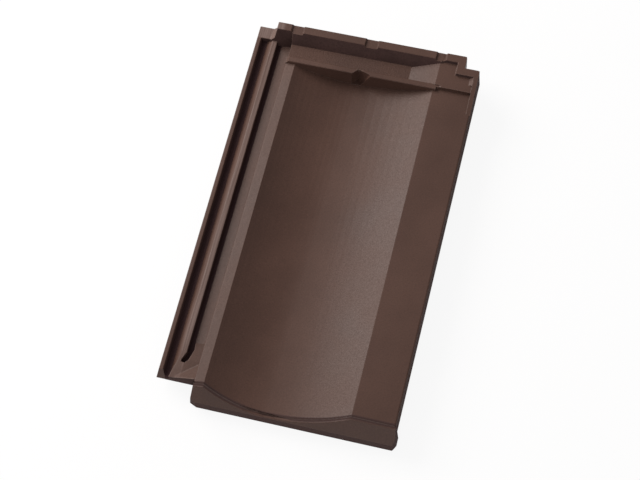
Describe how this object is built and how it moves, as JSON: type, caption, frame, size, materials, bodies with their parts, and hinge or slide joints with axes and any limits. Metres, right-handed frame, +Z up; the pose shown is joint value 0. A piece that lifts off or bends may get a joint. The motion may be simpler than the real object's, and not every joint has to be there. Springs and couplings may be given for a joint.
{
  "type": "interlocking clay roof tile",
  "caption": "Pressed clay roof tile with a hollow pan, a grooved side lock, a cover flap, a ribbed head lock and nibs that hook over a batten.",
  "frame": {"origin": "the middle of the tile's footprint, on the floor it lies on", "axes": "+Y runs up the roof from the foot to the head, +X across to the cover flap, +Z up out of the pan"},
  "size_m": [0.2714, 0.4646, 0.0505],
  "materials": {
    "engobed_clay": "fired clay with a satin dark brown engobe"
  },
  "bodies": {
    "root": {"roof_tile": "engobed_clay"}
  },
  "joints": []
}
